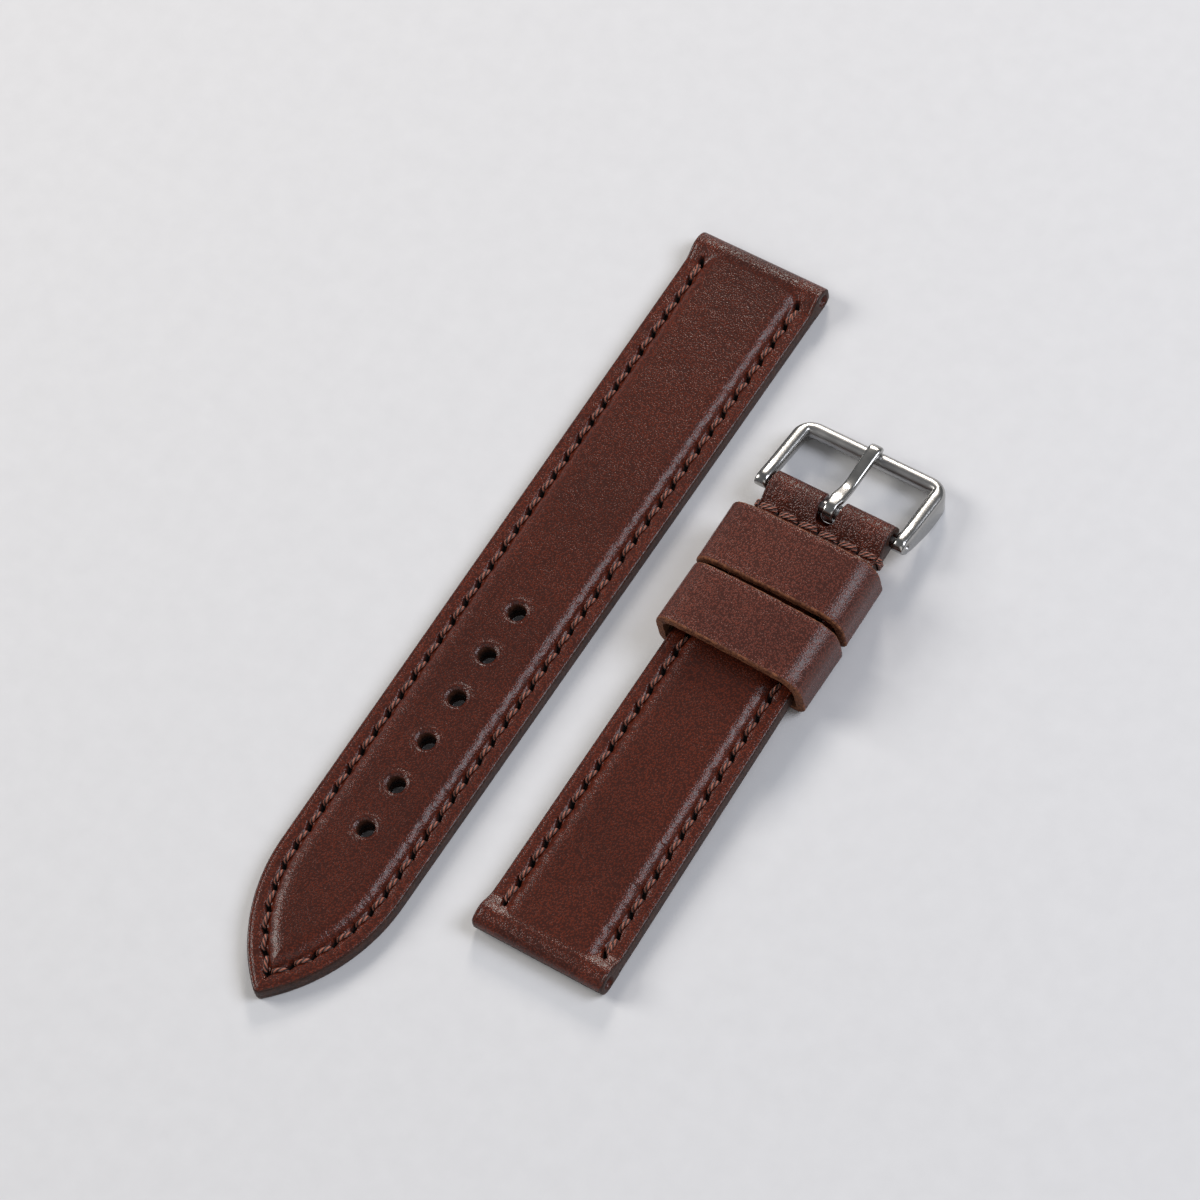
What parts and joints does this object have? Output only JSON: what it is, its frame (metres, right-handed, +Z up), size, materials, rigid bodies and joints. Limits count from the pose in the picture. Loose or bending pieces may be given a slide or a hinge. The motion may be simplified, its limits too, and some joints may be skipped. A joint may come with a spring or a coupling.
{
  "type": "leather watch strap",
  "caption": "Two-piece padded brown leather watch strap with saddle stitching, keepers and a steel pin buckle, laid out unworn.",
  "frame": {"origin": "on the table under the middle of the laid-out strap", "axes": "+Y along both halves, towards the buckle of the short half; +Z up from the lining to the cover; +X from the long half to the short half"},
  "size_m": [0.0508, 0.125, 0.0092],
  "materials": {
    "cover_leather": "satin full-grain leather",
    "lining_leather": "matt smooth lining leather",
    "keeper_leather": "satin leather with raw edges",
    "thread": "waxed twisted thread",
    "pad_felt": "felt padding",
    "stay_tape": "woven stay tape",
    "buckle_steel": "brushed with polished edges",
    "tongue_steel": "polished",
    "bar_steel": "plain turned steel"
  },
  "bodies": {
    "root": {"tail_cover": "cover_leather", "tail_pad": "pad_felt", "tail_stay": "stay_tape", "tail_lining": "lining_leather", "tail_thread": "thread", "short_cover": "cover_leather", "short_pad": "pad_felt", "short_stay": "stay_tape", "short_lining": "lining_leather", "short_thread_left": "thread", "short_thread_right": "thread", "cross_thread": "thread", "fixed_keeper": "keeper_leather", "fixed_keeper_thread": "thread", "spring_bar_tube": "bar_steel", "spring_bar_spring": "bar_steel"},
    "buckle": {"buckle_frame": "buckle_steel"},
    "tongue": {"tongue": "tongue_steel"},
    "free_keeper": {"free_keeper": "keeper_leather", "free_keeper_thread": "thread"},
    "tip_left": {"spring_bar_tip_left": "bar_steel"},
    "tip_right": {"spring_bar_tip_right": "bar_steel"}
  },
  "joints": [
    {"name": "buckle_hinge", "type": "hinge", "parent": "root", "child": "buckle", "pos_m": [0.01372, 0.03236, 0.00418], "axis": [1, 0, 0], "range_deg": [-60, 30]},
    {"name": "tongue_hinge", "type": "hinge", "parent": "buckle", "child": "tongue", "pos_m": [0.01372, 0.03236, 0.00418], "axis": [1, 0, 0], "range_deg": [0, 75]},
    {"name": "keeper_slide", "type": "slide", "parent": "root", "child": "free_keeper", "axis": [0, -0.9994, -0.0333], "range_m": [0, 0.04]},
    {"name": "tip_left_slide", "type": "slide", "parent": "root", "child": "tip_left", "axis": [1, 0, 0], "range_m": [0, 0.0015], "stiffness_N_per_m": 800, "springref_m": -0.002, "deforming": ["spring_bar_spring"]},
    {"name": "tip_right_slide", "type": "slide", "parent": "root", "child": "tip_right", "axis": [-1, 0, 0], "range_m": [0, 0.0015], "stiffness_N_per_m": 800, "springref_m": -0.002, "deforming": ["spring_bar_spring"]}
  ]
}
